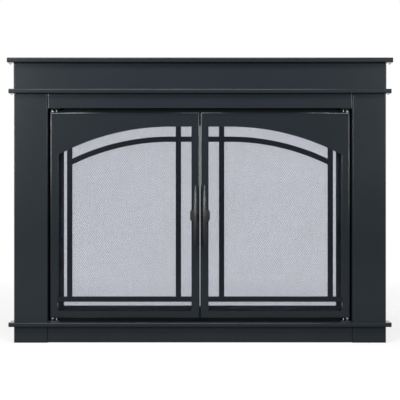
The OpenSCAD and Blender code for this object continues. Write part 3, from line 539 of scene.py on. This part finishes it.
def screwTree(material):
    tree, board, given = newTree("machineScrew", machineScrew)
    size = given.output
    length = size("Shank Length")
    shankRings = (length / size("Pitch") * size("Rings Per Pitch")).maths("ROUND")
    rings = shankRings + size("Head Rings")
    tube = board.add("GeometryNodeMeshCylinder", {"fill_type": "NONE"},
                     {"Vertices": size("Sides"), "Side Segments": rings, "Radius": 1.0,
                      "Depth": 1.0})
    # each ring's number, counted from the tip
    across, deep, height = board.axes(board.add("GeometryNodeInputPosition"))
    ring = ((height + 0.5) * rings).maths("ROUND")
    inHead = ring > shankRings + 0.5
    # the shank from its tip up to the seat, then the head from its rim up to its crown
    shankZ = (ring / shankRings - 1) * length
    thread = ((shankZ / size("Pitch")) * (2 * math.pi)).maths("COSINE") * 0.5 - 0.5
    shankR = (size("Shank Radius") + thread * size("Thread Depth")).maths(
        "MINIMUM", (shankZ + length) * size("Tip Taper"))
    headRing = ((ring - shankRings - 1) / (size("Head Rings") - 1)).maths("MAXIMUM", 0.0)
    turn = headRing * (math.pi / 2)
    headR = turn.maths("COSINE").maths("MAXIMUM", 0.0) ** size("Dome Power") * size("Head Radius")
    headZ = turn.maths("SINE") ** size("Dome Power") * size("Head Height")
    radius = shankR + (headR - shankR) * inHead
    turned = board.add("ShaderNodeCombineXYZ", None, {
        "X": across * radius, "Y": deep * radius, "Z": shankZ + (headZ - shankZ) * inHead,
    })
    blank = board.add("GeometryNodeMergeByDistance", None, {
        "Geometry": board.add("GeometryNodeSetPosition", None,
                              {"Geometry": tube, "Position": turned}),
        "Distance": mergeGap,
    })
    span, width, depth = size("Recess Span"), size("Recess Width"), size("Recess Depth")
    blades = []
    for wide, tall in ((span, width), (width, span)):
        blade = board.add("GeometryNodeMeshCube", None, {
            "Size": board.add("ShaderNodeCombineXYZ", None,
                              {"X": wide, "Y": tall, "Z": depth * 2}),
        })
        blades.append(board.add("GeometryNodeTransform", None, {
            "Geometry": blade,
            "Translation": board.add("ShaderNodeCombineXYZ", None, {"Z": size("Head Height")}),
        }))
    cross = board.gathered("GeometryNodeMeshBoolean", {"operation": "UNION", "solver": "EXACT"},
                           "Mesh 2", blades)
    cut = board.add("GeometryNodeMeshBoolean", {"operation": "DIFFERENCE", "solver": "EXACT"},
                    {"Mesh 1": blank, "Mesh 2": cross})
    facing = board.add("GeometryNodeInputNamedAttribute", {"data_type": "FLOAT_VECTOR"},
                       {"Name": "facing"})
    aimed = board.add("FunctionNodeAlignRotationToVector", {"axis": "Z"}, {"Vector": facing})
    wander = board.add("FunctionNodeRandomValue", {"data_type": "FLOAT"},
                       {2: 0.0, 3: 2 * math.pi, "Seed": size("Seed")}, 1)
    spun = board.add("FunctionNodeRotateRotation", {"rotation_space": "LOCAL"}, {
        "Rotation": aimed,
        "Rotate By": board.add("FunctionNodeEulerToRotation", None, {
            "Euler": board.add("ShaderNodeCombineXYZ", None, {"Z": wander}),
        }),
    })
    every = board.add("GeometryNodeInstanceOnPoints", None,
                      {"Points": given.output("Points"), "Instance": cut, "Rotation": spun})
    endTree(board, every, material, crispAngles["screw"])
    return tree


# Where each separate screw of a node sits, which way its head faces and what its sizes are. They
# come in the order of their places, so that each screw has the same turn in every run
def screwSpots(nodeName):
    shape = bmesh.new()
    shape.from_mesh(nodes[nodeName].data)
    bmesh.ops.remove_doubles(shape, verts=shape.verts, dist=mergeGap)
    left = set(shape.verts)
    spots = []
    while left:
        island, edge = set(), [left.pop()]
        while edge:
            vertex = edge.pop()
            island.add(vertex)
            near = {e.other_vert(vertex) for e in vertex.link_edges} & left
            left -= near
            edge.extend(near)
        spots.append(screwSpot([v.co.copy() for v in island]))
    shape.free()
    return sorted(spots, key=lambda spot: [round(place, sizeDigits) for place in spot[0]])


# A screw's seat, facing and sizes from its points: its axis is the one about which they keep
# closest to two radii, the head's and the shank's
def screwSpot(points):
    low = Vector([min(p[i] for p in points) for i in range(3)])
    high = Vector([max(p[i] for p in points) for i in range(3)])
    centre = (low + high) / 2
    best = None
    for axis in range(3):
        radii = [math.hypot(*[(p - centre)[i] for i in range(3) if i != axis]) for p in points]
        headR, shankR = max(radii), min(radii)
        stray = sum(min(headR - r, r - shankR) for r in radii)
        if best is None or stray < best[0]:
            best = (stray, axis, headR, shankR, radii)
    stray, axis, headR, shankR, radii = best
    half = (headR + shankR) / 2
    head = [p[axis] for p, r in zip(points, radii) if r > half]
    shank = [p[axis] for p, r in zip(points, radii) if r < half]
    facing = Vector((0, 0, 0))
    facing[axis] = 1 if sum(head) / len(head) > sum(shank) / len(shank) else -1
    seat = centre.copy()
    seat[axis] = min(head) if facing[axis] > 0 else max(head)
    length = abs(seat[axis] - (min(shank) if facing[axis] > 0 else max(shank)))
    measures = (headR, max(head) - min(head), shankR, length)
    return seat, facing, tuple(round(size, sizeDigits) for size in measures)


def machineScrews():
    trees = {}
    for nodeName in screwNodes:
        finish = finishFor(nodeName)
        if finish.name not in trees:
            trees[finish.name] = screwTree(finish)
        groups = {}
        for seat, facing, measures in screwSpots(nodeName):
            groups.setdefault(measures, []).append((seat, facing))
        for number, (measures, spots) in enumerate(sorted(groups.items())):
            name = nodeName + ".turned" + str(number)
            points = bpy.data.meshes.new(name)
            points.from_pydata([seat for seat, facing in spots], [], [])
            attribute = points.attributes.new("facing", "FLOAT_VECTOR", "POINT")
            for item, (seat, facing) in zip(attribute.data, spots):
                item.vector = facing
            headR, headT, shankR, length = measures
            inputs = dict(machineScrew)
            inputs.update({
                "Head Radius": headR, "Head Height": headT, "Shank Radius": shankR,
                "Shank Length": length, "Recess Span": headR * recessShares["span"],
                "Recess Width": headR * recessShares["width"],
                "Recess Depth": headT * recessShares["depth"],
            })
            mesh = growMesh(name, trees[finish.name], inputs, points)
            addPiece(name, mesh, nodeName)
            print(name, len(spots), "screws", measures, len(mesh.polygons), "faces")


machineScrews()


# Mesh panels: thin wires laid corner to corner, each over one and under the next. One run of the
# tree lays the wires that rise to the right, and with Slope -1 those that fall
wireCloth = {
    "Cell Width": 0.0053, "Cell Height": 0.0044, "Wire Radius": 0.00047, "Crimp": 0.00042,
    "Half Width": 0.19, "Half Height": 0.28, "Rows": 231, "Slope": 1.0, "Wire Sides": 4,
    "Centre": (0.0, 0.0, 0.0),
}
# how far inside the panel's outline the wires end, and half a step of their lattice
clothRoom = 0.0008
halfStep = 0.5


def wireTree(material):
    tree, board, given = newTree("diagonalWires", wireCloth)
    rows = given.output("Rows")
    # a square lattice whose steps become the wires' crossings
    grid = board.add("GeometryNodeMeshGrid", None, {
        "Size X": rows - 1, "Size Y": rows - 1, "Vertices X": rows, "Vertices Y": rows,
    })
    ends = board.add("GeometryNodeInputMeshEdgeVertices")
    run = board.vectors("SUBTRACT", ends.output("Position 1"), ends.output("Position 2"))
    crossways = abs(board.axes(run)[1]) > halfStep
    wires = board.add("GeometryNodeDeleteGeometry", {"domain": "EDGE", "mode": "EDGE_FACE"},
                      {"Geometry": grid, "Selection": crossways})
    stepX, stepY = board.axes(board.add("GeometryNodeInputPosition"))[:2]
    slope = given.output("Slope")
    wave = ((stepX + stepY) * math.pi).maths("COSINE") * given.output("Crimp") * slope
    laid = board.add("ShaderNodeCombineXYZ", None, {
        "X": (stepX - stepY) * given.output("Cell Width") * 0.5 * slope,
        "Y": wave,
        "Z": (stepX + stepY) * given.output("Cell Height") * 0.5,
    })
    moved = board.add("GeometryNodeSetPosition", None, {"Geometry": wires, "Position": laid})
    hereX, hereZ = board.axes(board.add("GeometryNodeInputPosition"))[::2]
    outside = (abs(hereX) > given.output("Half Width")).maths(
        "MAXIMUM", abs(hereZ) > given.output("Half Height"))
    trimmed = board.add("GeometryNodeDeleteGeometry", {"domain": "POINT", "mode": "ALL"},
                        {"Geometry": moved, "Selection": outside})
    placed = board.add("GeometryNodeTransform", None,
                       {"Geometry": trimmed, "Translation": given.output("Centre")})
    lines = board.add("GeometryNodeMeshToCurve", None, {"Mesh": placed})
    section = board.add("GeometryNodeCurvePrimitiveCircle", {"mode": "RADIUS"},
                        {"Resolution": given.output("Wire Sides"),
                         "Radius": given.output("Wire Radius")})
    solid = board.add("GeometryNodeCurveToMesh", None,
                      {"Curve": lines, "Profile Curve": section, "Fill Caps": True})
    endTree(board, solid, material, crispAngles["wire"])
    return tree


def meshPanels():
    tree = wireTree(finishes["mesh_wire"])
    for side in sides:
        low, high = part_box(side + "_mesh")
        for family, slope in (("Rising", 1.0), ("Falling", -1.0)):
            inputs = dict(wireCloth, Slope=slope, Centre=tuple((low + high) / 2))
            inputs["Half Width"] = (high.x - low.x) / 2 - clothRoom
            inputs["Half Height"] = (high.z - low.z) / 2 - clothRoom
            mesh = growMesh(side + family + "Wires", tree, inputs)
            addPiece(side + family + "Wires", mesh, side + "_mesh")
            print(side, family, "wires", len(mesh.polygons), "faces")


meshPanels()


# Straight on, at half the front's height
view = {"distance": 3.2, "front": -0.048, "height": 0.4239, "span": 1.1876, "sensor": 36.0}


def setCamera(values):
    camera = bpy.data.objects.new("camera", bpy.data.cameras.new("camera"))
    scene.collection.objects.link(camera)
    camera.data.sensor_width = values["sensor"]
    camera.data.lens = values["sensor"] * values["distance"] / values["span"]
    camera.location = (0, values["front"] - values["distance"], values["height"])
    camera.rotation_euler = (math.radians(90), 0, 0)
    scene.camera = camera


# Two tall strips, one to each side, and a broad one above
lamps = {
    "keyLamp": {"place": (-1.66, -2.85, 1.3), "target": (0, 0, 0.45), "size": (0.2, 1.4),
                "power": 65},
    "rightLamp": {"place": (1.66, -2.85, 1.3), "target": (0, 0, 0.45), "size": (0.2, 1.4),
                  "power": 36},
    "topLamp": {"place": (-0.15, -1.4, 2.3), "target": (0, 0, 0.4), "size": (1.6, 0.6),
                "power": 46},
}


def addLamp(name, values):
    lamp = bpy.data.lights.new(name, "AREA")
    lamp.shape = "RECTANGLE"
    lamp.size, lamp.size_y = values["size"]
    lamp.energy = values["power"]
    obj = bpy.data.objects.new(name, lamp)
    obj.location = values["place"]
    ahead = Vector(values["target"]) - Vector(values["place"])
    obj.rotation_euler = ahead.to_track_quat("-Z", "Y").to_euler()
    scene.collection.objects.link(obj)


# Reflections find the floor white from mirrorStart on towards the back, and a ray whose depth is
# below firstBounce has not bounced yet
studio = {
    "worldGrey": 0.1, "floorSize": 30.0, "floor": linear(128, 128, 128), "nearGlow": 0.8,
    "glowStart": 0.7, "glowEnd": 2.6, "mirrorStart": 0.3, "firstBounce": 0.5,
}


# Rays that should find a white backdrop: the camera's, those straight through glass, and
# reflections of what lies behind the object, but no light that a dull surface has scattered
def backdropRays(board, values, behind):
    path = board.add("ShaderNodeLightPath")
    straight = path.output("Glossy Depth") < values["firstBounce"]
    through = path.output("Is Transmission Ray") * straight
    mirrored = path.output("Is Glossy Ray") * behind
    unscattered = path.output("Diffuse Depth") < values["firstBounce"]
    indirect = through.maths("MAXIMUM", mirrored) * unscattered
    return path.output("Is Camera Ray").maths("MAXIMUM", indirect)


def makeWorld(values):
    world = bpy.data.worlds.new("studio")
    world.use_nodes = True
    scene.world = world
    board = NodeBoard(world.node_tree)
    towardsBack = board.axes(board.add("ShaderNodeTexCoord").output("Generated"))[1]
    dim = board.add("ShaderNodeBackground", None,
                    {"Color": (1, 1, 1, 1), "Strength": values["worldGrey"]})
    white = board.add("ShaderNodeBackground", None, {"Color": (1, 1, 1, 1), "Strength": 1.0})
    both = board.add("ShaderNodeMixShader", None,
                     {0: backdropRays(board, values, towardsBack > 0), 1: dim, 2: white})
    board.add("ShaderNodeOutputWorld", None, {"Surface": both})


def makeFloor(values):
    half = values["floorSize"] / 2
    corners = [(-half, -half, 0), (half, -half, 0), (half, half, 0), (-half, half, 0)]
    mesh = bpy.data.meshes.new("floor")
    mesh.from_pydata(corners, [], [(0, 1, 2, 3)])
    floor = bpy.data.objects.new("floor", mesh)
    scene.collection.objects.link(floor)
    material, board, place = newFinish("paleFloor")
    towardsBack = board.axes(place)[1]
    away = board.vectors("LENGTH", place).output("Value")
    far = board.add("ShaderNodeMapRange", None, {
        "Value": away, "From Min": values["glowStart"], "From Max": values["glowEnd"],
        "To Min": 0.0, "To Max": 1.0,
    })
    seen = backdropRays(board, values, towardsBack > values["mirrorStart"])
    lit = board.add("ShaderNodeBsdfDiffuse", None, {"Color": values["floor"]})
    glow = board.add("ShaderNodeEmission", None,
                     {"Color": (1, 1, 1, 1), "Strength": seen * values["nearGlow"]})
    near = board.add("ShaderNodeAddShader", None, {0: lit, 1: glow})
    white = board.add("ShaderNodeEmission", None, {"Color": (1, 1, 1, 1), "Strength": 1.0})
    both = board.add("ShaderNodeMixShader", None, {0: seen * far, 1: near, 2: white})
    finishSurface(board, both)
    mesh.materials.append(material)


setCamera(view)
makeWorld(studio)
makeFloor(studio)
for lampName, values in lamps.items():
    addLamp(lampName, values)
scene.view_settings.view_transform = "Standard"
print("stage set")
